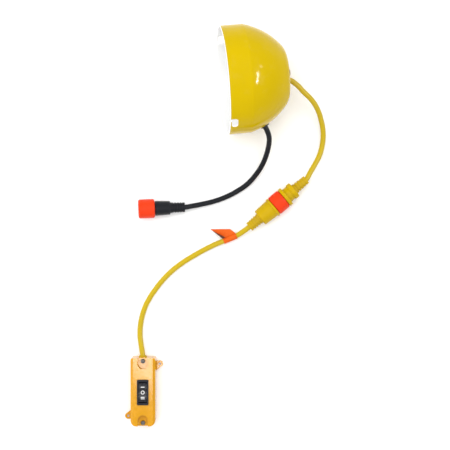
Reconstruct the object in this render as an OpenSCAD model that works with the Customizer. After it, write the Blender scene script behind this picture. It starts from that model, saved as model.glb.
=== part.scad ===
// Dome-hood lamp with a supply lead, an in-line screw connector and a rocker switch box.
// Millimetres. The table is z = 0, +Z is up, and the hood lies on its side with its mouth towards -X.

/* [Lamp head] */
// Radius of the hood at its rim
hood_r = 65; // [63:0.5:67]
// Length of the straight skirt before the flank begins to turn in
skirt_l = 26.4; // [24:0.2:28]
// Sheet thickness of the spun hood
hood_t = 1.5; // [1.2:0.1:1.6]
// How far the crown end dips below level, in degrees
hood_tilt = 5.2; // [5:0.1:5.4]
// How far the hood is turned about the vertical, in degrees
hood_yaw = 5.5; // [5.3:0.1:5.7]
// Length of a bayonet slot around the rim
slot_w = 14.5; // [12:0.5:16]
// Length of a bayonet slot along the hood's axis
slot_h = 7.5; // [6:0.5:8]
// Outer radius of the light engine's housing cup
cup_r = 36; // [35.5:0.1:36.5]

/* [Cords and connectors] */
// Diameter of the yellow lamp and switch cords
cord_d = 6.5; // [6:0.1:6.6]
// Diameter of the black supply cord
supply_d = 6.4; // [6:0.1:6.5]
// Outer radius of the in-line coupling nut
link_nut_r = 12.6; // [12.2:0.1:12.7]
// Outer radius of the two flanges beside the in-line coupling nut
link_flange_r = 12.8; // [12.8:0.1:13]
// Outer radius of the supply coupling nut
supply_nut_r = 11.85; // [11.4:0.05:11.85]

/* [Switch box] */
// Width of the box
box_w = 30.3; // [30:0.1:32]
// Length of the box
box_l = 83.7; // [83:0.1:86]
// Height of the box
box_h = 27; // [26.8:0.1:27.4]
// Wall thickness of the box
box_t = 2.2; // [2:0.1:2.4]
// Radius of the holes in the mounting ears
ear_hole_r = 1.7; // [1.5:0.1:2]

/* [Hidden] */
$fn = 48;
head_pos = [21.6, 176.3, 67.15];
link_pos = [90.4, 31.8, link_flange_r];
link_yaw = 39.8;
supply_pos = [-83.7, 23.5, 13.62];
supply_pitch = 5;
supply_yaw = 2.3;
box_pos = [-77.4, -201.75, 0];

// The hood's outline is a straight skirt and four arcs that run on smoothly from each other.
bend_r = 6;
flank_r = 87;
shoulder_r = 20;
bend_end = 15;
flank_end = 50;
shoulder_end = 79.5;
bend_c = [hood_r - bend_r, skirt_l];
flank_c = bend_c + (bend_r - flank_r) * heading(bend_end);
shoulder_c = flank_c + (flank_r - shoulder_r) * heading(flank_end);
crown_r = shoulder_r + shoulder_c[0] / cos(shoulder_end);
crown_c = [0, shoulder_c[1] + (shoulder_r - crown_r) * sin(shoulder_end)];
hood_depth = crown_c[1] + crown_r;
slot_angles = [238, 58];
slot_lip = 1.7;
slot_entry = 4.5;

// Where the lamp cord leaves the crown, and where the supply cord leaves the flank.
lamp_exit_r = 13.9;
lamp_exit_angle = 345;
supply_exit_t = 27.8;
supply_exit_angle = 285;
crown_screw_r = 22.5;
crown_screw_angles = [75, 180, 285];

// The stack inside the housing cup, as distances from the rim.
cup_front = 40;
cup_step = 48.8;
cup_back = 71;
cup_in_r = cup_r - 3;
bezel_front = 34.4;
lens_front = 37.7;
boss_ring_r = cup_r + 3;
boss_angles = [45, 135, 225, 315];
board_top = 59.6;
side_gland_u = 54;

// Where the lamp cord runs: out of the crown, down in a curve, and into the socket half.
lamp_route = [
    [84.9, 179.3, 49.6], [90.9, 179.7, 48.8], [96.1, 180.1, 47.8], [99.2, 180, 47], [102.9, 179, 46.2],
    [108.4, 175.6, 44.8], [112.9, 172, 43.2], [117.9, 167, 40.5], [129, 157, 34], [136.6, 147, 26.5],
    [142.3, 133, 18], [145.3, 118, 11.5], [144.6, 103.5, 7.6], [140.8, 89.5, 6.2], [135.9, 80, 7.4],
    [129.4, 69, 11], link_at(44), link_at(34)
];
// Where the supply cord runs: from the side gland, out of the flank, down, and into its connector.
supply_route = [
    [77.5, 148.7, 53.7], [77.4, 143.8, 52.4], [75.4, 139.4, 51.4], [71.7, 135.1, 50.8],
    [70.2, 130.5, 49.8], [70.8, 126, 48.6], [74.6, 118.2, 45.2], [77.1, 111.5, 40.2],
    [77.5, 104.5, 34], [76.5, 97.7, 28], [74.7, 90.6, 22.3], [69.4, 77.5, 13], [61.2, 65.3, 6.8],
    [51.2, 54.5, 4], [38.9, 46, 3.4], [25.4, 39, 3.3], [10.9, 33.6, 3.4], [-4.1, 29.9, 4.4],
    [-16.1, 27.5, 6.3], supply_at(57.5), supply_at(46)
];
// Where the switch cord runs: out of the plug half, onto the table, and into the switch box.
switch_route = [
    link_at(-38), link_at(-47.7), [44.7, -5.4, 9.2], [37.9, -9.6, 6.4], [29.9, -13.2, 5],
    [20.9, -16.7, 4.2], [10.9, -20.7, 3.5], [-2.1, -27.2, 3.3], [-16.1, -35, 3.3], [-30.6, -44.2, 3.3],
    [-42.6, -53.6, 3.3], [-53.1, -64, 3.3], [-62.6, -75.8, 3.3], [-70.9, -88.2, 3.3],
    [-77.3, -101.8, 3.3], [-81.1, -116.3, 3.3], [-82.4, -131, 3.5], [-81.4, -142.5, 5],
    [-79.5, -152.5, 7.8], [-78.4, -160.5, 9], [-78.4, -172, 9], [-78.4, -183, 9]
];
// The flag is a folded piece of tape: a sleeve on the cord between two points of its route.
flag_from = [37.9, -9.6, 6.4];
flag_to = [21.9, -16.3, 4.2];
flag_outline = [[39, -9], [21, -17.6], [10.5, -3], [6, -1.6], [30.5, -1.2]];
flag_z = 6.6;

// Heights inside the switch box.
split_z = 15;
gasket_t = 0.8;
cover_z = split_z + gasket_t;
entry_x = -1;
entry_z = 9;
entry_r = 4.6;
pocket_w = 12.5;
pocket_l = 13.5;
pocket_d = 5;
case_screw_y = box_l / 2 - 3.9;
ear_x = 19.8;
ear_y = 32.4;
ear_r = 3.9;
ear_t = 3;
bezel_w = 14.1;
bezel_l = 31.2;
frame_w = 12.6;
frame_l = 28.6;
frame_floor = 12.5;
frame_in_w = 10.7;
frame_in_l = 26;
pivot_z = box_h - 2.4;
pivot_r = 1.2;
rocker_r = 12.6;
rocker_w = 10;
lever_z = 16;

function heading(t) = [cos(t), sin(t)];
function arc(c, r, t0, t1, n) = [for (i = [0:n]) c + r * heading(t0 + (t1 - t0) * i / n)];
function flipped(p) = [for (i = [len(p) - 1:-1:0]) p[i]];
function unit(v) = v / norm(v);

// One side of the hood's outline, set in by a distance from the outer surface.
function hood_side(inset) = concat(
    [[hood_r - inset, 0]],
    arc(bend_c, bend_r - inset, 0, bend_end, 2),
    arc(flank_c, flank_r - inset, bend_end + 3.5, flank_end, 9),
    arc(shoulder_c, shoulder_r - inset, flank_end + 6, shoulder_end, 4),
    arc(crown_c, crown_r - inset, shoulder_end + 3, 87, 2),
    [[0, crown_c[1] + crown_r - inset]]
);

// Height of the crown's outer surface above the rim plane, at a distance from the axis.
function crown_u(r) = crown_c[1] + sqrt(crown_r * crown_r - r * r);

function link_at(d) = link_pos + d * [cos(link_yaw), sin(link_yaw), 0];
function supply_dir() = [
    cos(supply_pitch) * cos(supply_yaw), cos(supply_pitch) * sin(supply_yaw), -sin(supply_pitch)
];
function supply_at(d) = supply_pos + d * supply_dir();

// Outline of a plate centred on the origin, with one radius at its -Y corners and one at +Y.
function plate(w, l, r_low, r_high) = concat(
    arc([w / 2 - r_high, l / 2 - r_high], r_high, 0, 90, 5),
    arc([-w / 2 + r_high, l / 2 - r_high], r_high, 90, 180, 5),
    arc([-w / 2 + r_low, -l / 2 + r_low], r_low, 180, 270, 6),
    arc([w / 2 - r_low, -l / 2 + r_low], r_low, 270, 360, 6)
);

module at_head(angle = 0) {
    translate(head_pos) rotate([0, 90 + hood_tilt, hood_yaw]) rotate(angle) children();
}

module at_link() {
    translate(link_pos) rotate([0, 90, link_yaw]) children();
}

module at_supply() {
    translate(supply_pos) rotate([0, 90 + supply_pitch, supply_yaw]) children();
}

module at_box() {
    translate(box_pos) children();
}

// The supply cord's hole through the flank: +Z is the flank's outward normal.
module at_flank_exit() {
    p = flank_c + flank_r * heading(supply_exit_t);
    at_head(supply_exit_angle) translate([p[0], 0, p[1]]) rotate([0, 90 - supply_exit_t, 0])
        children();
}

module at_crown_exit() {
    at_head(lamp_exit_angle) translate([lamp_exit_r, 0, crown_u(lamp_exit_r)])
        rotate([0, asin(lamp_exit_r / crown_r), 0]) children();
}

// Puts children at p with +Z towards q.
module along(p, q) {
    d = q - p;
    translate(p) rotate([0, acos(d[2] / norm(d)), atan2(d[1], d[0])]) children();
}

module ring(r_in, r_out, z0, z1) {
    rotate_extrude() translate([r_in, z0]) square([r_out - r_in, z1 - z0]);
}

module rod(r, z0, z1) {
    translate([0, 0, z0]) cylinder(r = r, h = z1 - z0);
}

module block(w, l, z0, z1) {
    translate([-w / 2, -l / 2, z0]) cube([w, l, z1 - z0]);
}

module around(r, angles) {
    for (a = angles) rotate(a) translate([r, 0, 0]) children();
}

// A round tube swept along a route, for a cord.
module tube(route, r, sides = 10) {
    last = len(route) - 1;
    points = [
        for (i = [0:last])
            let (d = unit(route[min(i + 1, last)] - route[max(i - 1, 0)]))
            let (s = unit(cross(d, [0, 0, 1])))
            let (t = cross(s, d))
            for (k = [0:sides - 1])
                route[i] + r * (cos(360 * k / sides) * s + sin(360 * k / sides) * t)
    ];
    start_cap = [for (k = [0:sides - 1]) k];
    end_cap = [for (k = [sides - 1:-1:0]) last * sides + k];
    walls = [
        for (i = [0:last - 1])
            for (k = [0:sides - 1])
                for (half = [0:1])
                    let (a = i * sides + k)
                    let (b = i * sides + (k + 1) % sides)
                    half == 0 ? [a, a + sides, b] : [b, a + sides, b + sides]
    ];
    polyhedron(points = points, faces = concat([start_cap, end_cap], walls));
}

// A turned strain relief: a cone with shallow grooves, from z0 to z1.
module strain_relief(r0, r1, z0, z1, bore_r) {
    grooves = 4;
    pitch = (z1 - z0) / (grooves + 1);
    difference() {
        rotate_extrude() polygon([[bore_r, z0], [r0, z0], [r1, z1], [bore_r, z1]]);
        for (i = [1:grooves])
            ring(min(r0, r1) - 0.35, max(r0, r1) + 1, z0 + i * pitch - 0.6, z0 + i * pitch + 0.6);
    }
}

// A coupling nut: a smooth barrel with rounded ends, a wide bore and a narrow lip at one end.
module coupling_nut(r, bore_r, lip_r, z0, z1, lip0, lip1, round_r) {
    rotate_extrude() polygon(concat(
        [[bore_r, z0]],
        arc([r - round_r, z0 + round_r], round_r, 270, 360, 5),
        arc([r - round_r, z1 - round_r], round_r, 0, 90, 5),
        lip1 >= z1
            ? [[lip_r, z1], [lip_r, lip0], [bore_r, lip0]]
            : [[bore_r, z1]]
    ));
}

module bayonet_slot() {
    round_r = slot_h / 2 - 0.15;
    translate([hood_r - 6, 0, slot_lip + slot_h / 2]) rotate([90, 0, 90])
        linear_extrude(12) polygon(plate(slot_w, slot_h, round_r, round_r));
    translate([hood_r - 6, -slot_w / 2, -1]) cube([12, slot_entry, slot_lip + slot_h / 2 + 1]);
}

module countersink(r_head, r_hole, depth) {
    translate([0, 0, -depth]) cylinder(r1 = r_hole, r2 = r_head, h = depth);
}

module hood_shell() {
    color("gold") difference() {
        at_head() rotate_extrude($fn = 96)
            polygon(concat(hood_side(0), flipped(hood_side(hood_t))));
        for (a = slot_angles) at_head(a) bayonet_slot();
        at_crown_exit() rod(5, -5, 3);
        at_flank_exit() rod(5, -4, 3);
        at_head() around(crown_screw_r, crown_screw_angles)
            translate([0, 0, crown_u(crown_screw_r)]) {
                rod(2.1, -4, 1);
                translate([0, 0, 0.4]) countersink(4, 2.1, 1.7);
            }
    }
}

module crown_screws() {
    color("silver") at_head() around(crown_screw_r, crown_screw_angles)
        translate([0, 0, crown_u(crown_screw_r)]) difference() {
            union() {
                rod(1.95, -9.5, -1.25);
                translate([0, 0, 0.1]) countersink(3.6, 1.95, 1.4);
            }
            translate([-2.4, -0.4, -0.6]) cube([4.8, 0.8, 2]);
            translate([-0.4, -2.4, -0.6]) cube([0.8, 4.8, 2]);
        }
}

module housing_pad() {
    r_in = 19.5;
    r_out = 25.5;
    gap = 0.06;
    color("dimgray") difference() {
        at_head() rotate_extrude() polygon([
            [r_in, cup_back], [r_out, cup_back],
            [r_out, crown_u(r_out) - hood_t - gap], [r_in, crown_u(r_out) - hood_t - gap]
        ]);
        at_head() around(crown_screw_r, crown_screw_angles) rod(2.1, cup_back - 1, hood_depth);
    }
}

module engine_housing() {
    gland = supply_exit_angle;
    color("gainsboro") difference() {
        at_head() {
            rotate_extrude() polygon([
                [0, cup_front], [cup_r, cup_front], [cup_r, cup_back - 1.5],
                [cup_r - 1.5, cup_back], [0, cup_back]
            ]);
            around(boss_ring_r, boss_angles) rod(4, cup_front, cup_front + 12);
            around(cup_r - 1, [0:30:330]) translate([0, -0.9, 57]) cube([4, 1.8, 9]);
        }
        at_head() {
            rod(cup_in_r, cup_front - 1, cup_step);
            rod(cup_in_r - 2, cup_step - 1, cup_back - 3);
            around(crown_screw_r, crown_screw_angles) rod(2, cup_back - 5, cup_back + 1);
            around(boss_ring_r, boss_angles) rod(1.25, cup_front - 1, cup_front + 9);
        }
        at_head(gland) translate([0, 0, side_gland_u]) rotate([0, 90, 0]) rod(4.1, 20, cup_r + 6);
        at_head(lamp_exit_angle) translate([12.7, 0, 0]) rod(4.4, cup_back - 4, cup_back + 1);
    }
}

module heat_spreader() {
    color("silver") at_head() difference() {
        rod(cup_in_r - 0.2, cup_step - 3, cup_step);
        around(29, [0, 120, 240]) rod(1, cup_step - 4, cup_step + 1);
        rod(3, cup_step - 4, cup_step + 1);
    }
}

module led_board() {
    color("white") at_head() difference() {
        rod(31.8, cup_step - 4.6, cup_step - 3);
        around(29, [0, 120, 240]) rod(1.3, cup_step - 5, cup_step - 2);
        rod(3, cup_step - 5, cup_step - 2);
    }
}

module led_chips() {
    color("khaki") at_head() {
        around(8, [30:60:330]) block(5, 5, cup_step - 5.8, cup_step - 4.6);
        around(17, [0:30:330]) block(5, 5, cup_step - 5.8, cup_step - 4.6);
    }
}

module board_screws() {
    color("silver") at_head() around(29, [0, 120, 240]) {
        rod(2.1, cup_step - 5.7, cup_step - 4.6);
        rod(0.95, cup_step - 4.6, cup_step - 0.5);
    }
}

module reflector() {
    color("white") at_head() rotate_extrude() polygon([
        [23.5, 44], [25, 44], [30.6, 41.2], [cup_in_r - 0.3, 41.2], [cup_in_r - 0.3, 40.1], [29.2, 40.1]
    ]);
}

module lens() {
    color([0.85, 0.9, 0.95, 0.4]) at_head() rod(cup_r - 0.4, lens_front, cup_front);
}

module lens_gasket() {
    color("black") at_head() ring(30.5, cup_r - 0.4, lens_front - 0.8, lens_front);
}

module bezel_ring() {
    back = lens_front - 0.8;
    color("lightgray") at_head() difference() {
        union() {
            rotate_extrude() polygon([
                [29.5, bezel_front + 1.2], [30.7, bezel_front], [cup_r + 1, bezel_front],
                [cup_r + 2, bezel_front + 1], [cup_r + 2, cup_front], [cup_r, cup_front],
                [cup_r, back], [29.5, back]
            ]);
            around(boss_ring_r, boss_angles) rod(4, bezel_front, cup_front);
        }
        rod(cup_r, back, cup_front + 1);
        around(boss_ring_r, boss_angles) {
            rod(1.6, bezel_front - 1, cup_front + 1);
            rod(2.7, bezel_front - 1, bezel_front + 1);
        }
    }
}

module bezel_screws() {
    color("silver") at_head() around(boss_ring_r, boss_angles) difference() {
        union() {
            rod(2.6, bezel_front - 0.9, bezel_front + 1);
            rod(1.2, bezel_front + 1, cup_front + 7);
        }
        translate([0, 0, bezel_front - 1]) cylinder(r = 1.3, h = 1.4, $fn = 6);
    }
}

module driver_board() {
    color("darkgreen") at_head() difference() {
        block(40, 34, board_top - 1.6, board_top);
        for (x = [-1, 1], y = [-1, 1]) translate([17 * x, 14 * y, 0]) rod(1.2, 50, 62);
    }
}

module driver_standoffs() {
    color("goldenrod") at_head() for (x = [-1, 1], y = [-1, 1]) translate([17 * x, 14 * y, 0]) {
        rod(2.4, cup_step, board_top - 1.6);
        rod(1.1, board_top - 1.6, board_top);
        rod(2, board_top, board_top + 1.2);
    }
}

module driver_parts() {
    color("dimgray") at_head() {
        translate([-9, 7, 0]) block(13, 10, board_top, board_top + 7.5);
        translate([-12, -7, 0]) rod(4, board_top, board_top + 7.5);
        translate([-3, -9, 0]) rod(2.6, board_top, board_top + 6);
        translate([2, 11, 0]) block(5, 4, board_top, board_top + 2.5);
        translate([13, 8, 0]) rod(2.6, board_top, board_top + 7);
    }
}

module terminal_block() {
    color("seagreen") at_head() difference() {
        translate([11.5, -3.5, 0]) block(10, 12, board_top, board_top + 4.2);
        for (y = [-7.2, -3.5, 0.2]) translate([11.5, y, 0]) rod(1.3, board_top + 3, board_top + 6);
    }
}

module lamp_cord_grommet() {
    color("black") difference() {
        at_crown_exit() {
            rod(6.2, 0.05, 1.6);
            rod(4.9, -2.2, 0.3);
            rod(5.9, -3.2, -1.95);
        }
        at_crown_exit() rod(cord_d / 2, -5, 3);
    }
}

module supply_cord_grommet() {
    color("black") difference() {
        at_flank_exit() {
            rotate_extrude() polygon([[0, 0], [6.2, 0], [6.2, 1], [5.4, 2.1], [0, 2.1]]);
            rod(4.9, -2.1, 0.2);
            rod(5.9, -3.3, -2);
        }
        at_flank_exit() rod(supply_d / 2, -5, 3);
    }
}

module side_gland() {
    color("black") difference() {
        at_head(supply_exit_angle) translate([0, 0, side_gland_u]) rotate([0, 90, 0]) {
            rod(4, cup_r - 5.5, cup_r + 1);
            translate([0, 0, cup_r + 0.2]) cylinder(r = 6.4, h = 3.2, $fn = 6);
            translate([0, 0, cup_r + 3.4]) cylinder(r1 = 5.2, r2 = 4.4, h = 2.2);
        }
        at_head(supply_exit_angle) translate([0, 0, side_gland_u]) rotate([0, 90, 0])
            rod(supply_d / 2, cup_r - 7, cup_r + 7);
    }
}

module lamp_cord() {
    color("gold") tube(lamp_route, cord_d / 2);
}

module supply_cord() {
    color("black") tube(supply_route, supply_d / 2);
}

module switch_cord() {
    color("gold") tube(switch_route, cord_d / 2);
}

module supply_nut() {
    color("orangered") at_supply()
        coupling_nut(supply_nut_r, 9.4, 7.9, 0, 20.2, 17.2, 20.2, 2.4);
}

module supply_plug_body() {
    color("black") at_supply() rotate_extrude() polygon([
        [6.3, 2], [7.4, 2], [7.4, 13.2], [9, 13.2], [9, 16.9], [7.5, 16.9], [7.5, 20.6],
        [8.7, 20.6], [9.1, 21.2], [9.1, 24], [8.45, 38.8], [7.9, 39.4], [6.6, 39.4], [6.6, 40.8],
        [3.3, 40.8], [3.3, 34], [6.3, 31]
    ]);
}

module supply_insert() {
    color("darkslategray") at_supply() difference() {
        rod(6.25, 10, 28);
        around(3.5, [90, 210, 330]) rod(0.9, 9, 29);
        translate([4.9, -0.8, 9]) cube([2, 1.6, 5]);
    }
}

module supply_contacts() {
    color("goldenrod") at_supply() around(3.5, [90, 210, 330]) {
        rod(0.85, 6.2, 29);
        translate([0, 0, 5.4]) cylinder(r1 = 0.4, r2 = 0.85, h = 0.8);
    }
}

module supply_o_ring() {
    color("dimgray") at_supply() rotate_extrude() translate([8.2, 12.4]) circle(r = 0.75, $fn = 24);
}

module supply_strain_relief() {
    color("black") at_supply() strain_relief(6.4, 6, 40.8, 57.5, supply_d / 2 + 0.1);
}

module link_nut() {
    color("orangered") at_link() mirror([0, 0, 1])
        coupling_nut(link_nut_r, 10.3, 9.3, -8, 8, 5.6, 8, 2.2);
}

module socket_body() {
    f = link_flange_r;
    color("gold") at_link() difference() {
        rotate_extrude() polygon([
            [7, -2.3], [9.3, -2.3], [9.9, -1.6], [9.9, 6.6], [9.3, 6.6], [9.3, 8.2], [f - 0.6, 8.2],
            [f, 8.8], [f, 11.8], [f - 0.6, 12.4], [9.6, 12.4], [9.2, 19.2], [10.1, 19.2],
            [10.5, 19.8], [10.5, 24.2], [9.9, 24.8], [3.3, 24.8], [3.3, 21], [7, 19]
        ]);
        for (i = [0:3]) ring(9.45, 11, -0.8 + 1.9 * i, 0.1 + 1.9 * i);
    }
}

module socket_insert() {
    color("darkslategray") at_link() difference() {
        rod(6.9, 6, 16);
        around(3.5, [90, 210, 330]) rod(0.65, 5, 17);
    }
}

module socket_pins() {
    color("goldenrod") at_link() around(3.5, [90, 210, 330]) rod(0.6, -1, 17.5);
}

module socket_strain_relief() {
    color("gold") at_link() strain_relief(6.3, 5.4, 24.8, 44, cord_d / 2 + 0.1);
}

module plug_body() {
    f = link_flange_r;
    color("gold") at_link() rotate_extrude() polygon([
        [7.5, -3], [9.9, -3], [9.9, -5.3], [9, -5.3], [9, -8.2], [f - 0.6, -8.2], [f, -8.8],
        [f, -10.6], [f - 0.6, -11.2], [11.6, -11.2], [10.65, -29.6], [9.9, -30.4], [3.3, -30.4],
        [3.3, -26], [7.5, -23]
    ]);
}

module plug_insert() {
    color("darkslategray") at_link() difference() {
        union() {
            rod(7.4, -20, -3.2);
            rod(6.6, -3.3, 4.8);
        }
        around(3.5, [90, 210, 330]) rod(1.35, -21, 6);
    }
}

module plug_contacts() {
    color("goldenrod") at_link() around(3.5, [90, 210, 330]) difference() {
        rod(1.3, -21.5, 4.4);
        rod(0.92, -14, 5);
    }
}

module link_o_ring() {
    color("dimgray") at_link() ring(7.7, 9.3, -3, -2.6);
}

module plug_strain_relief() {
    color("gold") at_link() strain_relief(6.05, 6.8, -47.7, -30.4, cord_d / 2 + 0.1);
}

// The tape's sleeve and its flat tail.
module flag_label() {
    color("darkorange") difference() {
        union() {
            along(flag_from, flag_to) rod(cord_d / 2 + 0.7, 0, norm(flag_to - flag_from));
            translate([0, 0, flag_z]) linear_extrude(0.9) polygon(flag_outline);
        }
        along(flag_from, flag_to) rod(cord_d / 2 + 0.1, -9, norm(flag_to - flag_from) + 9);
    }
}

module box_outline(inset) {
    polygon(plate(box_w - 2 * inset, box_l - 2 * inset, 7 - inset, 2.4 - inset / 2));
}

// A mounting ear at the +X side, with a gusset that runs down the side of the box.
module ear() {
    side = box_w / 2 - 1;
    translate([ear_x, ear_y, 0]) cylinder(r = ear_r, h = ear_t);
    linear_extrude(ear_t) polygon([
        [side, ear_y + ear_r - 0.2], [ear_x, ear_y + ear_r - 0.2],
        [ear_x + 2.6, ear_y - 2.6], [side, ear_y - 9]
    ]);
}

module case_base() {
    color("orange") at_box() difference() {
        union() {
            difference() {
                linear_extrude(split_z) box_outline(0);
                translate([0, 0, box_t]) linear_extrude(split_z) box_outline(box_t);
            }
            for (s = [-1, 1]) {
                translate([0, s * (box_l / 2 - 4.2), 0]) block(10, 8, 12.8, split_z);
                rotate(s > 0 ? 0 : 180) ear();
            }
            for (s = [-1, 1]) translate([entry_x + s * 7, 29, 0]) rod(2.6, box_t - 1, 11.6);
            translate([entry_x, 29, 0]) block(9, 6, box_t - 1, 5.6);
            for (x = [-1, 1], y = [-20, 0, 20]) translate([x * (box_w / 2 - box_t - 0.3), y, 0])
                block(1.6, 2, box_t, 11);
        }
        for (s = [-1, 1]) {
            translate([s * ear_x, s * ear_y, 0]) rod(ear_hole_r, -1, ear_t + 1);
            translate([0, s * case_screw_y, 0]) rod(1.3, 12, split_z + 1);
            translate([entry_x + s * 7, 29, 0]) rod(0.9, 6, 14);
        }
        translate([entry_x, box_l / 2 - 5, entry_z]) rotate([-90, 0, 0]) rod(entry_r, 0, 8);
    }
}

module case_gasket() {
    color("dimgray") at_box() translate([0, 0, split_z]) difference() {
        linear_extrude(gasket_t) box_outline(0.5);
        translate([0, 0, -1]) linear_extrude(gasket_t + 2) box_outline(box_t);
    }
}

module case_cover() {
    inner = box_t;
    chamfer = 3;
    color("orange") at_box() difference() {
        translate([0, 0, cover_z]) linear_extrude(box_h - cover_z) box_outline(0);
        difference() {
            translate([0, 0, cover_z - 1]) linear_extrude(box_h - cover_z - inner + 1)
                box_outline(inner);
            for (s = [-1, 1]) translate([0, s * (box_l / 2 - pocket_l / 2), 0])
                block(pocket_w + 3, pocket_l + 3, box_h - pocket_d - 2, box_h);
            for (s = [-1, 1]) translate([0, s * case_screw_y, 0]) rod(3.4, cover_z, box_h);
        }
        for (s = [-1, 1]) {
            translate([s * box_w / 2, 0, box_h]) rotate([0, 45, 0])
                cube([chamfer * sqrt(2), box_l + 2, chamfer * sqrt(2)], center = true);
            translate([0, s * (box_l / 2 - pocket_l + pocket_w / 2), 0])
                rod(pocket_w / 2, box_h - pocket_d, box_h + 1);
            translate([0, s * (box_l / 2 - (pocket_l - pocket_w / 2) / 2 + 1), 0])
                block(pocket_w, pocket_l - pocket_w / 2 + 2, box_h - pocket_d, box_h + 1);
            translate([0, s * case_screw_y, 0]) rod(1.8, cover_z - 1, box_h);
        }
        block(frame_w + 0.1, frame_l + 0.1, box_h - 6, box_h + 1);
    }
}

module case_screws() {
    seat = box_h - pocket_d;
    color("dimgray") at_box() for (s = [-1, 1]) translate([0, s * case_screw_y, 0]) difference() {
        union() {
            rod(2.8, seat, seat + 1.5);
            translate([0, 0, seat + 1.5]) cylinder(r1 = 2.8, r2 = 2.1, h = 0.7);
            rod(1.25, 12.9, seat);
        }
        translate([-1.9, -0.4, seat + 1.2]) cube([3.8, 0.8, 2]);
        translate([-0.4, -1.9, seat + 1.2]) cube([0.8, 3.8, 2]);
    }
}

module entry_grommet() {
    color("gold") at_box() difference() {
        translate([entry_x, box_l / 2, entry_z]) rotate([-90, 0, 0]) rotate_extrude() polygon([
            [3.35, -3.6], [5.5, -3.6], [5.5, -2.4], [4.5, -2.4], [4.5, 0.05], [5.2, 0.05],
            [5.2, 0.6], [4.1, 1.8], [3.35, 1.8]
        ]);
        translate([entry_x, box_l / 2 - 3.2, 0]) block(14, 1.8, 12.7, 16);
    }
}

module cord_clamp() {
    color("white") at_box() translate([entry_x, 29, 0]) difference() {
        block(18.5, 5, 11.65, 14.4);
        for (s = [-1, 1]) translate([s * 7, 0, 0]) rod(1.2, 11, 15);
        rotate([90, 0, 0]) translate([0, entry_z, 0]) rod(cord_d / 2 + 0.05, -6, 6);
    }
}

module clamp_screws() {
    color("silver") at_box() for (s = [-1, 1]) translate([entry_x + s * 7, 29, 0]) {
        rod(1.9, 14.4, 15.6);
        rod(0.85, 6.4, 14.4);
    }
}

module switch_frame() {
    color("black") at_box() difference() {
        union() {
            translate([0, 0, box_h]) linear_extrude(1.4) polygon(plate(bezel_w, bezel_l, 1.4, 1.4));
            block(frame_w, frame_l, frame_floor, box_h + 0.1);
        }
        block(frame_in_w, frame_in_l, frame_floor + 1.5, box_h + 3);
        translate([0, 0, pivot_z]) rotate([0, 90, 0]) rod(pivot_r + 0.06, -6.1, 6.1);
        for (y = [-8.5, 0, 8.5]) translate([0, y, 0]) block(4.4, 1, frame_floor - 1, frame_floor + 3);
    }
}

module switch_terminals() {
    color("goldenrod") at_box() for (y = [-8.5, 0, 8.5]) translate([0, y, 0]) {
        block(4.2, 0.8, 5, frame_floor + 1.7);
        if (y != 0) rod(1.2, frame_floor + 1.5, frame_floor + 1.7);
    }
}

module rocker() {
    half = rocker_w / 2;
    top = 5.2;
    dip = 3.9;
    color("black") at_box() translate([0, 0, pivot_z]) {
        rotate([90, 0, 90]) translate([0, 0, -half]) linear_extrude(rocker_w) polygon(concat(
            arc([0, 0], rocker_r, -8, 22, 5),
            [[10.6, top], [2.8, dip], [-2.8, dip], [-10.6, top]],
            arc([0, 0], rocker_r, 158, 188, 5),
            [[-5, -3.2], [5, -3.2]]
        ));
        rotate([0, 90, 0]) rod(pivot_r, -6, 6);
        rod(1.5, -6.2, -3);
        translate([0, 0, -6.2]) sphere(r = 1.1, $fn = 24);
    }
}

// A bar, a ring and a double bar, printed just above the rocker's top.
module rocker_marks() {
    t = 0.12;
    slope = atan2(5.2 - 3.9, 10.6 - 2.8);
    color("white") at_box() translate([0, 0, pivot_z]) {
        ring(1.6, 2.3, 3.9, 3.9 + t);
        translate([0, 6.7, 4.55]) rotate([slope, 0, 0]) block(4.6, 0.9, 0, t);
        for (d = [-0.9, 0.9]) translate([0, -6.7 + d, 4.55 - d * tan(slope)])
            rotate([-slope, 0, 0]) block(4.6, 0.8, 0, t);
    }
}

module contact_lever() {
    color("goldenrod") at_box() translate([0, 0, lever_z]) {
        block(4.6, 20, -0.4, 0.4);
        for (y = [-8.5, 8.5]) translate([0, y, 0]) rod(1.1, -0.7, -0.3);
        translate([0, 0, -0.8]) rotate([0, 90, 0]) rod(0.6, -2.3, 2.3);
    }
}

hood_shell();
engine_housing();
housing_pad();
crown_screws();
heat_spreader();
led_board();
led_chips();
board_screws();
reflector();
lens();
lens_gasket();
bezel_ring();
bezel_screws();
driver_board();
driver_parts();
driver_standoffs();
terminal_block();
lamp_cord_grommet();
supply_cord_grommet();
side_gland();
lamp_cord();
supply_cord();
supply_plug_body();
supply_strain_relief();
supply_insert();
supply_contacts();
supply_o_ring();
supply_nut();
socket_body();
socket_insert();
socket_pins();
socket_strain_relief();
link_o_ring();
link_nut();
plug_body();
plug_insert();
plug_contacts();
plug_strain_relief();
switch_cord();
flag_label();
case_base();
case_cover();
case_gasket();
case_screws();
entry_grommet();
cord_clamp();
clamp_screws();
switch_frame();
switch_terminals();
rocker();
rocker_marks();
contact_lever();
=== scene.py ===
import math

import bmesh
import bpy
from mathutils import Matrix, Vector


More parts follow.
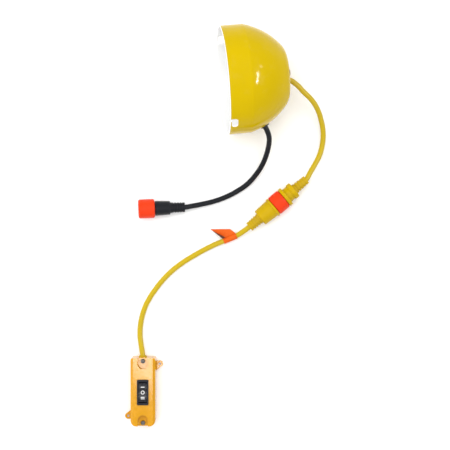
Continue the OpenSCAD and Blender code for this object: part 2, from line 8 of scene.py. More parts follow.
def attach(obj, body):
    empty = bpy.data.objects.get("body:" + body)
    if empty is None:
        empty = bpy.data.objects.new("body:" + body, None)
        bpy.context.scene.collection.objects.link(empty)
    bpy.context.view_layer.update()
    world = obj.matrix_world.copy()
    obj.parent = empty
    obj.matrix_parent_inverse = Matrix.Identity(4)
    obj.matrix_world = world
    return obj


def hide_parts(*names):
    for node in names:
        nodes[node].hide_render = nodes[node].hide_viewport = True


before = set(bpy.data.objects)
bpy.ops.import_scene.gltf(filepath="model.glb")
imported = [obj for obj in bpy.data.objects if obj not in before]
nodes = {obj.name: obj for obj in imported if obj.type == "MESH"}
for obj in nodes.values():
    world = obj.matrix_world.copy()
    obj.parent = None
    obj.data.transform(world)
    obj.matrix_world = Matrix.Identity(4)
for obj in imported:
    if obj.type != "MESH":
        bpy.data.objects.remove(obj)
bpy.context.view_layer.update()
scene = bpy.context.scene
MM = 0.001

# ---------------------------------------------------------------- placing


def turn(degrees, axis):
    return Matrix.Rotation(math.radians(degrees), 4, axis)


HOOD_R, SHEET = 65.0, 1.5
SLOT_ANGLES = (238, 58)
LAMP_EXIT_R, LAMP_EXIT_ANGLE = 13.9, 345
SUPPLY_EXIT_TURN, SUPPLY_EXIT_ANGLE = 27.8, 285
SCREW_R, SCREW_ANGLES = 22.5, (75, 180, 285)
CORD_HOLE_R = 5
HEAD_POS = Vector((21.6, 176.3, 67.15))
AT_HEAD = Matrix.Translation(HEAD_POS) @ turn(5.5, "Z") @ turn(95.2, "Y")
LINK_POS, LINK_YAW = Vector((90.4, 31.8, 12.8)), math.radians(39.8)
LINK_DIR = Vector((math.cos(LINK_YAW), math.sin(LINK_YAW), 0))
SUPPLY_POS = Vector((-83.7, 23.5, 13.62))
SUPPLY_DIR = (turn(2.3, "Z") @ turn(95, "Y")).to_3x3() @ Vector((0, 0, 1))


def link_at(d):
    return tuple(LINK_POS + d * LINK_DIR)


def supply_at(d):
    return tuple(SUPPLY_POS + d * SUPPLY_DIR)


# ---------------------------------------------------------------- camera

camera = bpy.data.objects.new("camera", bpy.data.cameras.new("camera"))
camera.location = (0.0236, 0.0037, 1.5)
camera.data.lens = 96
camera.data.sensor_width = 36
camera.data.clip_end = 20
scene.collection.objects.link(camera)
scene.camera = camera

# ---------------------------------------------------------------- cords

LAMP_ROUTE = [
    (84.9, 179.3, 49.6), (90.9, 179.7, 48.8), (96.1, 180.1, 47.8), (99.2, 180, 47),
    (102.9, 179, 46.2), (108.4, 175.6, 44.8), (112.9, 172, 43.2), (117.9, 167, 40.5),
    (129, 157, 34), (136.6, 147, 26.5), (142.3, 133, 18), (145.3, 118, 11.5),
    (144.6, 103.5, 7.6), (140.8, 89.5, 6.2), (135.9, 80, 7.4), (129.4, 69, 11),
    link_at(44), link_at(34),
]
SUPPLY_ROUTE = [
    (77.5, 148.7, 53.7), (77.4, 143.8, 52.4), (75.4, 139.4, 51.4), (71.7, 135.1, 50.8),
    (70.2, 130.5, 49.8), (70.8, 126, 48.6), (74.6, 118.2, 45.2), (77.1, 111.5, 40.2),
    (77.5, 104.5, 34), (76.5, 97.7, 28), (74.7, 90.6, 22.3), (69.4, 77.5, 13),
    (61.2, 65.3, 6.8), (51.2, 54.5, 4), (38.9, 46, 3.4), (25.4, 39, 3.3), (10.9, 33.6, 3.4),
    (-4.1, 29.9, 4.4), (-16.1, 27.5, 6.3), supply_at(57.5), supply_at(46),
]
SWITCH_ROUTE = [
    link_at(-38), link_at(-47.7), (44.7, -5.4, 9.2), (37.9, -9.6, 6.4), (29.9, -13.2, 5),
    (20.9, -16.7, 4.2), (10.9, -20.7, 3.5), (-2.1, -27.2, 3.3), (-16.1, -35, 3.3),
    (-30.6, -44.2, 3.3), (-42.6, -53.6, 3.3), (-53.1, -64, 3.3), (-62.6, -75.8, 3.3),
    (-70.9, -88.2, 3.3), (-77.3, -101.8, 3.3), (-81.1, -116.3, 3.3), (-82.4, -131, 3.5),
    (-81.4, -142.5, 5), (-79.5, -152.5, 7.8), (-78.4, -160.5, 9), (-78.4, -172, 9),
    (-78.4, -183, 9),
]


def as_mesh(piece):
    """The piece's mesh with its modifiers and bevel applied."""
    bpy.context.view_layer.update()
    graph = bpy.context.evaluated_depsgraph_get()
    return bpy.data.meshes.new_from_object(piece.evaluated_get(graph))


def cord(name, route, diameter, body):
    """A round cord on one smooth curve through the route's points, as a mesh, and its centreline."""
    data = bpy.data.curves.new(name, "CURVE")
    data.dimensions = "3D"
    data.resolution_u = 10
    spline = data.splines.new("BEZIER")
    spline.bezier_points.add(len(route) - 1)
    for knot, point in zip(spline.bezier_points, route):
        knot.co = Vector(point) * MM
        knot.handle_left_type = knot.handle_right_type = "AUTO"
    curve = bpy.data.objects.new(name + "_curve", data)
    scene.collection.objects.link(curve)
    centreline = [tuple(v.co) for v in as_mesh(curve).vertices]
    data.bevel_depth = diameter * MM / 2
    data.bevel_resolution = 7
    data.use_fill_caps = True
    piece = bpy.data.objects.new(name, as_mesh(curve))
    bpy.data.objects.remove(curve)
    scene.collection.objects.link(piece)
    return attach(piece, body), centreline


lamp_flex, lamp_line = cord("lamp_flex", LAMP_ROUTE, 6.5, "head")
supply_flex, supply_line = cord("supply_flex", SUPPLY_ROUTE, 6.4, "head")
switch_flex, switch_line = cord("switch_flex", SWITCH_ROUTE, 6.5, "switch_lead")
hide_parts("lamp_cord")
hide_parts("supply_cord")
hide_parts("switch_cord")

# ---------------------------------------------------------------- materials


class Paint:
    """A procedural material: tones and roughness from noise, relief from bump."""

    def __init__(self, name, metallic=0.0, specular=0.5, ior=1.5):
        self.material = bpy.data.materials.new(name)
        self.material.use_nodes = True
        self.tree = self.material.node_tree
        self.shader = self.tree.nodes["Principled BSDF"]
        self.shader.inputs["Metallic"].default_value = metallic
        self.shader.inputs["Specular IOR Level"].default_value = specular
        self.shader.inputs["IOR"].default_value = ior
        self.place = self.add("ShaderNodeTexCoord").outputs["Object"]

    def add(self, kind, **values):
        node = self.tree.nodes.new(kind)
        for key, value in values.items():
            setattr(node, key, value)
        return node

    def join(self, source, target):
        self.tree.links.new(source, target)

    def noise(self, scale, detail=4.0, stretch=(1, 1, 1), rough=0.55):
        scaled = self.add("ShaderNodeVectorMath", operation="MULTIPLY")
        self.join(self.place, scaled.inputs[0])
        scaled.inputs[1].default_value = stretch
        node = self.add("ShaderNodeTexNoise")
        node.inputs["Scale"].default_value = scale
        node.inputs["Detail"].default_value = detail
        node.inputs["Roughness"].default_value = rough
        self.join(scaled.outputs[0], node.inputs["Vector"])
        return node.outputs["Fac"]

    def dots(self, scale, size):
        """1 in small scattered dots, 0 elsewhere."""
        node = self.add("ShaderNodeTexVoronoi")
        node.inputs["Scale"].default_value = scale
        self.join(self.place, node.inputs["Vector"])
        return self.remap(node.outputs["Distance"], size, size * 0.5, 0, 1)

    def along(self, axis, start):
        """Distance of the surface from start along a direction, in metres."""
        dot = self.add("ShaderNodeVectorMath", operation="DOT_PRODUCT")
        self.join(self.place, dot.inputs[0])
        dot.inputs[1].default_value = axis
        return self.math("SUBTRACT", dot.outputs["Value"], Vector(axis).dot(Vector(start)))

    def edges(self, low=0.53, high=0.62):
        return self.remap(self.add("ShaderNodeNewGeometry").outputs["Pointiness"], low, high, 0, 1)

    def math(self, operation, a, b):
        node = self.add("ShaderNodeMath", operation=operation)
        for socket, value in zip(node.inputs, (a, b)):
            if isinstance(value, (int, float)):
                socket.default_value = value
            else:
                self.join(value, socket)
        return node.outputs[0]

    def remap(self, value, a, b, c, d):
        node = self.add("ShaderNodeMapRange")
        for socket, number in zip(node.inputs[1:5], (a, b, c, d)):
            socket.default_value = number
        self.join(value, node.inputs[0])
        return node.outputs[0]

    def ramp(self, value, *stops):
        node = self.add("ShaderNodeValToRGB")
        ramp = node.color_ramp
        while len(ramp.elements) < len(stops):
            ramp.elements.new(0.5)
        for element, (position, colour) in zip(ramp.elements, stops):
            element.position = position
            element.color = (*colour, 1)
        self.join(value, node.inputs[0])
        return node.outputs[0]

    def mix(self, mask, colour_a, colour_b):
        node = self.add("ShaderNodeMix", data_type="RGBA")
        self.join(mask, node.inputs[0])
        for socket, value in ((node.inputs[6], colour_a), (node.inputs[7], colour_b)):
            if isinstance(value, tuple):
                socket.default_value = (*value, 1)
            else:
                self.join(value, socket)
        return node.outputs[2]

    def colour(self, value):
        self.join(value, self.shader.inputs["Base Color"])

    def roughness(self, value):
        self.join(value, self.shader.inputs["Roughness"])

    def relief(self, *layers):
        """Bump from (height, millimetres) layers, one upon another."""
        under = None
        for height, depth in layers:
            bump = self.add("ShaderNodeBump")
            bump.inputs["Strength"].default_value = 1.0
            bump.inputs["Distance"].default_value = depth * MM
            self.join(height, bump.inputs["Height"])
            if under is not None:
                self.join(under, bump.inputs["Normal"])
            under = bump.outputs[0]
        self.join(under, self.shader.inputs["Normal"])


def shade(colour, factor):
    return tuple(min(1.0, c * factor) for c in colour)


def moulded(name, colour, gloss=(0.28, 0.42), grain=0.02, specular=0.5, rub_and_rim_shade=1.35):
    """Moulded plastic: soft tone drift, fine spark grain, dust and rubbed edges."""
    p = Paint(name, specular=specular)
    tone = p.ramp(
        p.noise(38, 3), (0.3, shade(colour, 0.93)), (0.5, colour), (0.72, shade(colour, 1.05))
    )
    scuff = p.math("MULTIPLY", p.edges(), p.remap(p.noise(420, 5), 0.42, 0.62, 0, 0.8))
    worn = p.mix(scuff, tone, shade(colour, rub_and_rim_shade))
    p.colour(p.mix(p.math("MULTIPLY", p.dots(900, 0.16), 0.35), worn, shade(colour, 0.62)))
    rough = p.math("ADD", p.noise(90, 5), p.math("MULTIPLY", scuff, 0.4))
    p.roughness(p.remap(rough, 0.35, 0.75, *gloss))
    p.relief((p.noise(120, 2), grain * 2), (p.noise(2600, 3), grain))
    return p.material


def rubber(name, colour, gloss=(0.5, 0.68), dust=0.25, specular=0.22):
    """Rubber or soft PVC: matt, with a dusty bloom and a fine skin."""
    p = Paint(name, specular=specular)
    bloom = p.remap(p.noise(55, 6, rough=0.65), 0.5, 0.78, 0, dust)
    tone = p.mix(bloom, colour, tuple(c + (0.45 - c) * 0.35 for c in colour))
    marks = p.math("MULTIPLY", p.dots(700, 0.13), 0.4)
    p.colour(p.mix(marks, tone, shade(colour, 0.6)))
    p.roughness(p.remap(p.noise(160, 5), 0.35, 0.7, *gloss))
    p.relief((p.noise(240, 3), 0.05), (p.noise(3000, 2), 0.016))
    return p.material


def metal(name, colour, gloss=(0.24, 0.42), stretch=(1, 1, 14), metallic=1.0, grain=0.01):
    """Bare metal: a brushed direction and stains."""
    p = Paint(name, metallic=metallic)
    brushed = p.noise(900, 4, stretch)
    tone = p.ramp(brushed, (0.3, shade(colour, 0.78)), (0.55, colour), (0.8, shade(colour, 1.12)))
    stain = p.remap(p.noise(150, 5), 0.55, 0.75, 0, 0.5)
    p.colour(p.mix(stain, tone, shade(colour, 0.55)))
    p.roughness(p.remap(p.math("ADD", brushed, p.math("MULTIPLY", stain, 0.5)), 0.3, 0.9, *gloss))
    p.relief((brushed, grain), (p.noise(260, 3), grain * 2))
    return p.material


def enamel(name, colour, inside=False):
    """Baked enamel on spun steel: orange peel, faint rings, chips and a painted dark shade line along
    the rim outside.
    """
    p = Paint(name, specular=0.3 if inside else 0.07)
    axis = AT_HEAD.to_3x3() @ Vector((0, 0, 1))
    height = p.along(tuple(axis), HEAD_POS * MM)
    tone = p.ramp(
        p.noise(16, 4), (0.3, shade(colour, 0.955)), (0.5, colour), (0.72, shade(colour, 1.03))
    )
    near_rim = p.remap(height, 0.0, 0.0026, 1, 0)
    chips = p.remap(p.math("MULTIPLY", near_rim, p.noise(300, 5)), 0.54, 0.6, 0, 0.0 if inside else 1.0)
    film = p.math("MULTIPLY", p.remap(p.noise(70, 6, rough=0.7), 0.55, 0.8, 0, 1), 0.06)
    dusty = p.mix(film, tone, (0.62, 0.56, 0.42))
    specks = p.math("MULTIPLY", p.dots(420, 0.09), 0.5)
    spotted = p.mix(specks, dusty, shade(colour, 0.55))
    # A dark brown band painted along the rim outside: painted shade standing for the rim's dark edge
    # line.
    rub_and_rim_shade = p.remap(height, 0.0003, 0.0014, 0.0 if inside else 0.5, 0)
    rim_shaded = p.mix(rub_and_rim_shade, spotted, (0.22, 0.17, 0.06))
    p.colour(p.mix(chips, rim_shaded, (0.12, 0.11, 0.10)))
    rough = p.math("ADD", p.noise(45, 5), p.math("MULTIPLY", chips, 0.6))
    p.roughness(p.remap(rough, 0.35, 1.0, 0.08, 0.32))
    rings = p.math("SINE", p.math("MULTIPLY", height, 2200), 0)
    p.relief((rings, 0.0016), (p.noise(520, 2), 0.007), (p.math("MULTIPLY", chips, -1), 0.12))
    return p.material


def board(name, colour, track):
    """Circuit board: solder mask over tracks, with pads."""
    p = Paint(name, specular=0.5)
    cells = p.add("ShaderNodeTexBrick")
    cells.inputs["Scale"].default_value = 240
    cells.inputs["Color1"].default_value = cells.inputs["Color2"].default_value = (0, 0, 0, 1)
    cells.inputs["Mortar"].default_value = (1, 1, 1, 1)
    cells.inputs["Mortar Size"].default_value = 0.06
    p.join(p.place, cells.inputs["Vector"])
    lines = p.math("MULTIPLY", cells.outputs["Fac"], p.remap(p.noise(160, 2), 0.45, 0.5, 0, 1))
    p.colour(p.mix(lines, p.ramp(p.noise(90, 3), (0.3, shade(colour, 0.85)), (0.7, colour)), track))
    p.roughness(p.remap(p.noise(300, 4), 0.3, 0.7, 0.25, 0.45))
    p.relief((lines, 0.03), (p.noise(2600, 2), 0.01))
    return p.material


def phosphor(name):
    """LED packages: a pale frame tone with a yellow phosphor grain."""
    p = Paint(name, specular=0.4)
    p.colour(p.ramp(p.noise(1500, 3), (0.35, (0.78, 0.55, 0.10)), (0.65, (0.95, 0.80, 0.30))))
    p.roughness(p.remap(p.noise(900, 3), 0.3, 0.7, 0.35, 0.6))
    p.relief((p.noise(3000, 2), 0.02))
    return p.material


def glass(name):
    """Toughened lens: clear, with smears and a slight ripple."""
    p = Paint(name, specular=0.5, ior=1.49)
    p.shader.inputs["Transmission Weight"].default_value = 0.92
    p.colour(p.ramp(p.noise(60, 4), (0.3, (0.90, 0.93, 0.92)), (0.7, (0.97, 0.985, 0.98))))
    p.roughness(p.remap(p.noise(110, 6, rough=0.7), 0.4, 0.8, 0.03, 0.22))
    p.relief((p.noise(80, 2), 0.02))
    return p.material


def tape(name, colour):
    """Coated cloth tape: crossed threads, creases and a soiled edge."""
    p = Paint(name, specular=0.12)
    threads = p.math("MAXIMUM", p.noise(1900, 2, (1, 0.12, 1)), p.noise(1900, 2, (0.12, 1, 1)))
    soil = p.remap(p.noise(170, 6, rough=0.7), 0.5, 0.8, 0, 0.4)
    tone = p.ramp(threads, (0.4, shade(colour, 0.88)), (0.62, colour), (0.8, shade(colour, 1.08)))
    p.colour(p.mix(soil, tone, shade(colour, 0.6)))
    p.roughness(p.remap(threads, 0.4, 0.8, 0.5, 0.36))
    p.relief((p.noise(130, 3), 0.25), (threads, 0.035))
    return p.material


def ink(name):
    """Pad-printed white: slightly thin in places."""
    p = Paint(name, specular=0.4)
    thin = p.remap(p.noise(1400, 5), 0.58, 0.72, 0, 0.55)
    p.colour(p.mix(thin, (0.86, 0.86, 0.84), (0.25, 0.25, 0.26)))
    p.roughness(p.remap(p.noise(600, 3), 0.3, 0.7, 0.4, 0.6))
    p.relief((p.noise(2200, 3), 0.012))
    return p.material


YELLOW = (0.53, 0.37, 0.0004)
LOOKS = {
    "yellow_enamel": enamel("yellow_enamel_paint", YELLOW),
    "cast_aluminium": metal(
        "cast_aluminium_skin", (0.62, 0.63, 0.64), (0.42, 0.6), (1, 1, 1), grain=0.03
    ),
    "black_rubber": rubber("black_rubber_skin", (0.022, 0.023, 0.026)),
    "steel": metal("plated_steel", (0.66, 0.66, 0.65)),
    "dark_steel": metal("blackened_steel", (0.16, 0.15, 0.14), (0.34, 0.5)),
    "white_board": board("white_solder_mask", (0.82, 0.83, 0.81), (0.72, 0.70, 0.62)),
    "led_phosphor": phosphor("led_phosphor_skin"),
    "white_plastic": moulded("white_plastic_skin", (0.80, 0.80, 0.78), (0.2, 0.34), rub_and_rim_shade=0.8),
    "clear_glass": glass("lens_glass"),
    "green_board": board("green_solder_mask", (0.02, 0.16, 0.05), (0.06, 0.32, 0.10)),
    "green_plastic": moulded("green_plastic_skin", (0.03, 0.30, 0.10)),
    "black_plastic": moulded(
        "black_plastic_skin", (0.007, 0.008, 0.012), (0.32, 0.46), specular=0.22, rub_and_rim_shade=3.0
    ),
    "brass": metal("brass_contacts", (0.83, 0.62, 0.26), (0.2, 0.36)),
    "yellow_cord": rubber(
        "yellow_cord_jacket", (0.485, 0.345, 0.007), (0.34, 0.48), 0.10, specular=0.2
    ),
    "black_cord": rubber("black_cord_jacket", (0.005, 0.006, 0.009), (0.36, 0.52), 0.06),
    "yellow_rubber": rubber(
        "yellow_rubber_skin", (0.475, 0.31, 0.003), (0.42, 0.58), 0.10, specular=0.15
    ),
    "yellow_plastic": moulded(
        "yellow_plastic_skin", (0.485, 0.315, 0.001), (0.3, 0.42), specular=0.12, rub_and_rim_shade=1.2
    ),
    "orange_plastic": moulded(
        "orange_plastic_skin", (0.72, 0.043, 0.008), (0.34, 0.5), specular=0.1, rub_and_rim_shade=1.15
    ),
    "orange_tape": tape("orange_tape_face", (0.70, 0.11, 0.008)),
    "box_plastic": moulded(
        "box_plastic_skin", (0.575, 0.265, 0.0015), (0.07, 0.12), grain=0.003, specular=0.28, rub_and_rim_shade=1.15
    ),
    "rocker_plastic": moulded(
        "rocker_plastic_skin", (0.009, 0.009, 0.012), (0.2, 0.3), specular=0.25, rub_and_rim_shade=2.5
    ),
    "white_ink": ink("white_ink_print"),
}
INSIDE = enamel("white_enamel_inside", (0.93, 0.93, 0.92), inside=True)
# The tape's underside: a dark brown copy of the orange tape, painted shade for the side turned away
# from the light.
SHADED_UNDERSIDE = tape("tape_underside_painted_shade", (0.11, 0.035, 0.02))


def smoothing():
    """Geometry nodes: weld the mesh, then shade it smooth across shallow edges."""
    group = bpy.data.node_groups.new("weld_and_smooth", "GeometryNodeTree")
    group.interface.new_socket("Geometry", in_out="INPUT", socket_type="NodeSocketGeometry")
    group.interface.new_socket("Geometry", in_out="OUTPUT", socket_type="NodeSocketGeometry")
    new, join = group.nodes.new, group.links.new
    start, end = new("NodeGroupInput"), new("NodeGroupOutput")
    bare = new("GeometryNodeRemoveAttribute")
    bare.inputs["Name"].default_value = "custom_normal"
    weld = new("GeometryNodeMergeByDistance")
    weld.inputs["Distance"].default_value = 0.000004
    faces = new("GeometryNodeSetShadeSmooth")
    faces.domain = "FACE"
    edges = new("GeometryNodeSetShadeSmooth")
    edges.domain = "EDGE"
    angle = new("GeometryNodeInputMeshEdgeAngle")
    shallow = new("FunctionNodeCompare")
    shallow.data_type = "FLOAT"
    shallow.operation = "LESS_THAN"
    shallow.inputs[1].default_value = math.radians(34)
    join(start.outputs[0], bare.inputs[0])
    join(bare.outputs[0], weld.inputs[0])
    join(weld.outputs[0], faces.inputs[0])
    join(faces.outputs[0], edges.inputs[0])
    join(angle.outputs[0], shallow.inputs[0])
    join(shallow.outputs[0], edges.inputs["Shade Smooth"])
    join(edges.outputs[0], end.inputs[0])
    return group


SMOOTH = smoothing()


def smooth(piece):
    modifier = piece.modifiers.new("smooth", "NODES")
    modifier.node_group = SMOOTH


def dress(piece, *materials):
    """Gives the piece its materials; which face takes which stays as it was."""
    faces = [face.material_index for face in piece.data.polygons]
    slots = piece.data.materials
    slots.clear()
    for material in materials:
        slots.append(material)
    if len(materials) > 1:
        piece.data.polygons.foreach_set("material_index", faces)


dress(lamp_flex, LOOKS["yellow_cord"])
dress(supply_flex, LOOKS["black_cord"])
dress(switch_flex, LOOKS["yellow_cord"])

# ---------------------------------------------------------------- CAD nodes

FINISH = {
    "cast_aluminium": ["engine_housing", "heat_spreader", "bezel_ring"],
    "black_rubber": ["housing_pad", "lens_gasket", "supply_o_ring", "link_o_ring", "case_gasket",
                     "side_gland", "supply_cord_grommet"],
    "steel": ["crown_screws", "board_screws", "bezel_screws", "driver_standoffs", "clamp_screws"],
    "dark_steel": ["case_screws"],
    "white_board": ["led_board"],
    "led_phosphor": ["led_chips"],
    "white_plastic": ["reflector", "cord_clamp"],
    "clear_glass": ["lens"],
    "green_board": ["driver_board"],
    "green_plastic": ["terminal_block"],
    "black_plastic": ["driver_parts", "supply_plug_body", "supply_insert", "socket_insert",
                      "plug_insert", "switch_frame"],
    "brass": ["supply_contacts", "socket_pins", "plug_contacts", "switch_terminals", "contact_lever"],
    "black_cord": ["supply_strain_relief"],
    "yellow_rubber": ["lamp_cord_grommet", "socket_strain_relief", "plug_strain_relief",
                      "entry_grommet"],
    "yellow_plastic": ["socket_body", "plug_body"],
    "orange_plastic": ["supply_nut", "link_nut"],
    "box_plastic": ["case_base", "case_cover"],
    "rocker_plastic": ["rocker"],
    "white_ink": ["rocker_marks"],
}
for look, members in FINISH.items():
    for member in members:
        dress(nodes[member], LOOKS[look])
        smooth(nodes[member])

# ---------------------------------------------------------------- hood


def arc(centre, radius, start, end, count):
    return [
        (centre[0] + radius * math.cos(math.radians(start + (end - start) * i / count)),
         centre[1] + radius * math.sin(math.radians(start + (end - start) * i / count)))
        for i in range(count + 1)
    ]


BEND_C, BEND_R, BEND_END = (59.0, 26.4), 6.0, 15
FLANK_R, FLANK_END, SHOULDER_R, SHOULDER_END = 87.0, 50, 20.0, 79.5


def on_arc(centre, radius, angle):
    return arc(centre, radius, angle, angle, 1)[0]


FLANK_C = on_arc(BEND_C, BEND_R - FLANK_R, BEND_END)
SHOULDER_C = on_arc(FLANK_C, FLANK_R - SHOULDER_R, FLANK_END)
CROWN_R = SHOULDER_R + SHOULDER_C[0] / math.cos(math.radians(SHOULDER_END))
CROWN_C = (0, SHOULDER_C[1] + (SHOULDER_R - CROWN_R) * math.sin(math.radians(SHOULDER_END)))


def crown_u(r):
    return CROWN_C[1] + math.sqrt(CROWN_R ** 2 - r ** 2)


def hood_side(inset):
    return (
        [(HOOD_R - inset, 0.8 + 2.56 * i) for i in range(10)]
        + arc(BEND_C, BEND_R - inset, 0, BEND_END, 5)
        + arc(FLANK_C, FLANK_R - inset, BEND_END + 1.4, FLANK_END, 25)
        + arc(SHOULDER_C, SHOULDER_R - inset, FLANK_END + 3, SHOULDER_END, 10)
        + arc(CROWN_C, CROWN_R - inset, SHOULDER_END + 1, 89.3, 11)
        + [(0, CROWN_C[1] + CROWN_R - inset)]
    )


def lathe(outline, count, place, inner_from=None):
    """A closed turned solid in millimetres: outline points (radius, height), ends on the axis."""
    mesh = bmesh.new()
    rings = []
    for radius, height in outline:
        if radius < 1e-9:
            rings.append([mesh.verts.new(place @ Vector((0, 0, height)))])
            continue
        rings.append([
            mesh.verts.new(place @ Vector((
                radius * math.cos(2 * math.pi * k / count),
                radius * math.sin(2 * math.pi * k / count), height)))
            for k in range(count)
        ])
    for index, (low, high) in enumerate(zip(rings, rings[1:])):
        for k in range(count):
            n = (k + 1) % count
            if len(low) == 1:
                corners = (low[0], high[n], high[k])
            elif len(high) == 1:
                corners = (low[k], low[n], high[0])
            else:
                corners = (low[k], low[n], high[n], high[k])
            face = mesh.faces.new(corners)
            face.smooth = True
            if inner_from is not None and index >= inner_from:
                face.material_index = 1
    bmesh.ops.recalc_face_normals(mesh, faces=mesh.faces)
    return mesh


def prism(outline, depth, place):
    """A straight prism of an outline in the local XY plane, in millimetres."""
    mesh = bmesh.new()
    low = [mesh.verts.new(place @ Vector((x, y, 0))) for x, y in outline]
    high = [mesh.verts.new(place @ Vector((x, y, depth))) for x, y in outline]
    mesh.faces.new(low[::-1])
    mesh.faces.new(high)
    for k in range(len(outline)):
        n = (k + 1) % len(outline)
        mesh.faces.new((low[k], low[n], high[n], high[k]))
    bmesh.ops.recalc_face_normals(mesh, faces=mesh.faces)
    return mesh


def piece_of(name, *meshes):
    """One object, in metres, from bmesh shapes in millimetres."""
    whole = bmesh.new()
    for mesh in meshes:
        part = bpy.data.meshes.new(name)
        mesh.to_mesh(part)
        mesh.free()
        whole.from_mesh(part)
        bpy.data.meshes.remove(part)
    bmesh.ops.scale(whole, vec=(MM, MM, MM), verts=whole.verts)
    data = bpy.data.meshes.new(name)
    whole.to_mesh(data)
    whole.free()
    piece = bpy.data.objects.new(name, data)
    scene.collection.objects.link(piece)
    return piece


def hood():
    outer = hood_side(0)
    inner = hood_side(SHEET)
    edge = arc((HOOD_R - SHEET / 2, SHEET / 2), SHEET / 2, 0, -180, 8)[1:-1]
    outline = outer[::-1] + edge + inner
    shell = piece_of("hood_enamelled", lathe(outline, 192, AT_HEAD, len(outer)))
    round_r, slot_half, lip, middle = 3.6, 7.25, 1.7, 5.45
    slot = (
        [(-slot_half, -1), (-2.75, -1), (-2.75, lip - 0.3), (-2.45, lip)]
        + arc((3.65, middle - 0.15), round_r, -90, 0, 8)
        + arc((3.65, middle + 0.15), round_r, 0, 90, 8)
        + arc((-3.65, middle + 0.15), round_r, 90, 180, 8)
    )
    stand = Matrix(((0, 0, 1, HOOD_R - 6), (1, 0, 0, 0), (0, 1, 0, 0), (0, 0, 0, 1)))
    cuts = [prism(slot, 12, AT_HEAD @ turn(a, "Z") @ stand) for a in SLOT_ANGLES]
    cord_hole = [(0, -5), (CORD_HOLE_R, -5), (CORD_HOLE_R, 3), (0, 3)]
    lean = math.degrees(math.asin(LAMP_EXIT_R / CROWN_R))
    crown = Matrix.Translation((LAMP_EXIT_R, 0, crown_u(LAMP_EXIT_R))) @ turn(lean, "Y")
    cuts.append(lathe(cord_hole, 48, AT_HEAD @ turn(LAMP_EXIT_ANGLE, "Z") @ crown))
    exit_r, exit_u = on_arc(FLANK_C, FLANK_R, SUPPLY_EXIT_TURN)
    flank = Matrix.Translation((exit_r, 0, exit_u)) @ turn(90 - SUPPLY_EXIT_TURN, "Y")
    cuts.append(lathe(cord_hole, 48, AT_HEAD @ turn(SUPPLY_EXIT_ANGLE, "Z") @ flank))
    sunk = [(0, -4), (2.1, -4), (2.1, -1.3), (4, 0.4), (4, 1.5), (0, 1.5)]
    for a in SCREW_ANGLES:
        screw = Matrix.Translation((SCREW_R, 0, crown_u(SCREW_R)))
        cuts.append(lathe(sunk, 40, AT_HEAD @ turn(a, "Z") @ screw))
    cutter = piece_of("hood_cutter", *cuts)
    dress(shell, LOOKS["yellow_enamel"], INSIDE)
    dress(cutter, LOOKS["yellow_enamel"], INSIDE)
    for face in cutter.data.polygons:
        face.material_index = 1
    modifier = shell.modifiers.new("cut", "BOOLEAN")
    modifier.object = cutter
    modifier.operation = "DIFFERENCE"
    modifier.solver = "EXACT"
    cut = as_mesh(shell)
    shell.modifiers.clear()
    shell.data = cut
    bpy.data.objects.remove(cutter)
    smooth(shell)
    return shell


hood_piece = hood()
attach(hood_piece, "head")
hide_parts("hood_shell")

# ---------------------------------------------------------------- flag


def sheet_of(mesh, rows, upward=False):
    """Faces between rows of points; upward makes the first face look up."""
    made = []
    grid = [[mesh.verts.new(p) for p in row] for row in rows]
    for a, b in zip(grid, grid[1:]):
        for k in range(len(a) - 1):
            made.append(mesh.faces.new((a[k], a[k + 1], b[k + 1], b[k])))
            made[-1].smooth = True
    mesh.normal_update()
    if upward and made[0].normal.z < 0:
        for face in made:
            face.normal_flip()


def flag():
    """A strip of tape: a sleeve round the cord, and a tail whose left edge rolls up."""
    start, end = Vector((37.9, -9.6, 6.4)), Vector((21.9, -16.3, 4.2))
    run = (end - start).normalized()
    side = run.cross(Vector((0, 0, 1))).normalized()
    if side.y < 0:
        side = -side
    up = Vector((0, 0, 1))
    sleeve_r, steps = 3.62, 26
    sleeve = []
    for i in range(15):
        centre = start.lerp(end, i / 14)
        sleeve.append([
            centre + sleeve_r * (math.cos(a) * side + math.sin(a) * up)
            for a in (2 * math.pi * k / 30 for k in range(31))
        ])
    tail = []
    for j in range(steps + 1):
        t = j / steps
        right = (start + side * 3.4).lerp(Vector((30.2, -1.3, 7.6)), t) + up * (1.9 - 1.2 * t)
        left = (end + side * 3.4).lerp(Vector((5.4, -1.4, 8.2)), t) + up * (1.9 - 1.2 * t)
        width = (left - right).length
        heading = (left - right).normalized()
        rolled = 3.0 - 1.7 * t ** 3
        radius = 2.3 - 0.7 * t
        folded = 2.0 * (1 - t)
        flat = width - radius
        row = []
        for i in range(49):
            x = (flat + radius * rolled + folded) * i / 48
            turned = min(max(0.0, (x - flat) / radius), rolled)
            beyond = max(0.0, x - flat - radius * rolled)
            level = min(x, flat)
            wave = 0.35 * math.sin(0.5 * level + 2.2 * t) * t + 0.9 * t * (level / flat) ** 2
            row.append(
                right + heading * (level + radius * math.sin(turned) + beyond * math.cos(rolled))
                + up * (wave + radius * (1 - math.cos(turned)) + beyond * math.sin(rolled))
            )
        tail.append(row)
    mesh = bmesh.new()
    sheet_of(mesh, sleeve)
    bmesh.ops.recalc_face_normals(mesh, faces=mesh.faces)
    other = bmesh.new()
    sheet_of(other, tail, upward=True)
    piece = piece_of("flag_tape", mesh, other)
    thick = piece.modifiers.new("thick", "SOLIDIFY")
    thick.thickness = 0.4 * MM
    thick.offset = 0
    # The solidified back takes the underside material, which is painted shade.
    thick.material_offset = 1
    dress(piece, LOOKS["orange_tape"], SHADED_UNDERSIDE)
    return piece


flag_piece = flag()
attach(flag_piece, "switch_lead")
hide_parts("flag_label")
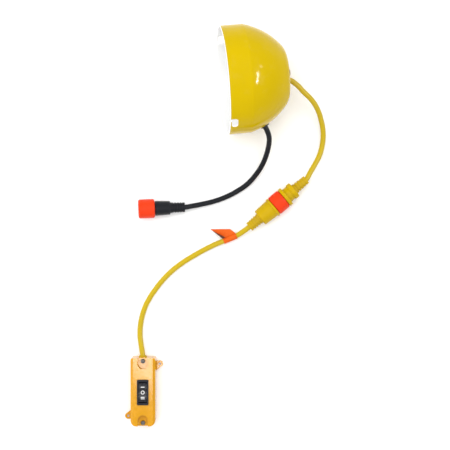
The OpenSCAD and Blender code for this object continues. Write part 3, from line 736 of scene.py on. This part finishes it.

# ---------------------------------------------------------------- stage and light


def floor():
    mesh = bmesh.new()
    bmesh.ops.create_grid(mesh, x_segments=2, y_segments=2, size=3)
    data = bpy.data.meshes.new("floor")
    mesh.to_mesh(data)
    mesh.free()
    piece = bpy.data.objects.new("floor", data)
    piece.location.z = -0.0002
    scene.collection.objects.link(piece)
    p = Paint("floor_paper", specular=0.0)
    p.colour(p.ramp(p.noise(3, 2), (0.3, (0.94, 0.94, 0.94)), (0.7, (0.96, 0.96, 0.96))))
    p.roughness(p.remap(p.noise(5, 2), 0.3, 0.7, 0.85, 0.95))
    dress(piece, p.material)


def softbox(name, place, aim, size, power, seen):
    """An area light that is seen only as diffuse light, or only mirrored in gloss."""
    light = bpy.data.lights.new(name, "AREA")
    light.shape = "RECTANGLE"
    light.size, light.size_y = size
    light.energy = power
    lamp = bpy.data.objects.new(name, light)
    lamp.location = place
    lamp.rotation_euler = (Vector(aim) - Vector(place)).to_track_quat("-Z", "Y").to_euler()
    lamp.visible_camera = False
    lamp.visible_glossy = seen == "mirrored"
    lamp.visible_diffuse = seen == "diffuse"
    scene.collection.objects.link(lamp)


floor()
softbox("overhead", (0.0, 0.35, 1.75), (0.0, 0.1, 0.0), (1.7, 1.6), 24, "diffuse")
softbox("strip", (0.828, 0.157, 0.762), (0.058, 0.173, 0.125), (0.38, 0.04), 9, "mirrored")
softbox("spot", (0.905, 0.54, 0.655), (0.06, 0.18, 0.12), (0.05, 0.05), 0.6, "mirrored")
softbox("sheen", (-0.19, -0.345, 1.65), (-0.08, -0.18, 0.0), (0.5, 0.085), 2.3, "mirrored")
softbox("fill", (-1.2, 0.2, 0.75), (0.03, 0.18, 0.06), (0.9, 0.9), 5.5, "diffuse")
world = bpy.data.worlds.new("studio")
world.use_nodes = True
world.node_tree.nodes["Background"].inputs["Color"].default_value = (1, 1, 1, 1)
world.node_tree.nodes["Background"].inputs["Strength"].default_value = 0.82
scene.world = world
scene.view_settings.view_transform = "Standard"
